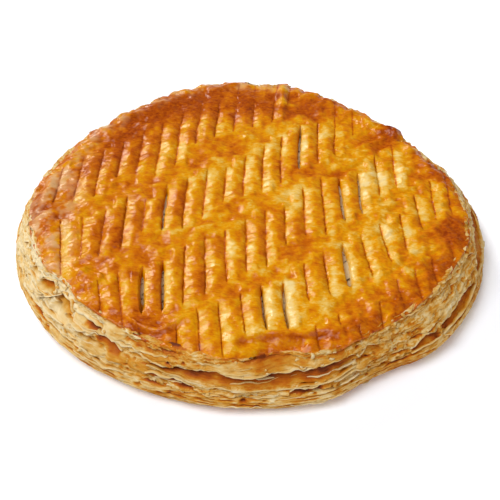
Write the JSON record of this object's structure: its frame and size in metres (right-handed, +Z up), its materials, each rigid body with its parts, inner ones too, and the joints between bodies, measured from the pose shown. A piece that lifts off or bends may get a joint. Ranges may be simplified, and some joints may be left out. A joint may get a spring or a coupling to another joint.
{
  "type": "galette des rois",
  "caption": "Uncut round puff-pastry cake with a low domed, browned lid scored in diagonal rows of short parallel cuts, flaky layered sides and a pale nut filling inside.",
  "frame": {"origin": "on the floor, under the middle of the cake's outline", "axes": "+Z up through the lid, +X and +Y across the cake; the cuts in the lid run along Y, and the near edge with the open cuts is at -Y"},
  "size_m": [0.2718, 0.2644, 0.0378],
  "materials": {
    "pastry": "egg-glazed golden brown puff pastry, pale and flaky at the side",
    "filling": "dull greyish beige almond paste with dark specks"
  },
  "bodies": {
    "root": {"pastry": "pastry", "filling": "filling"}
  },
  "joints": []
}
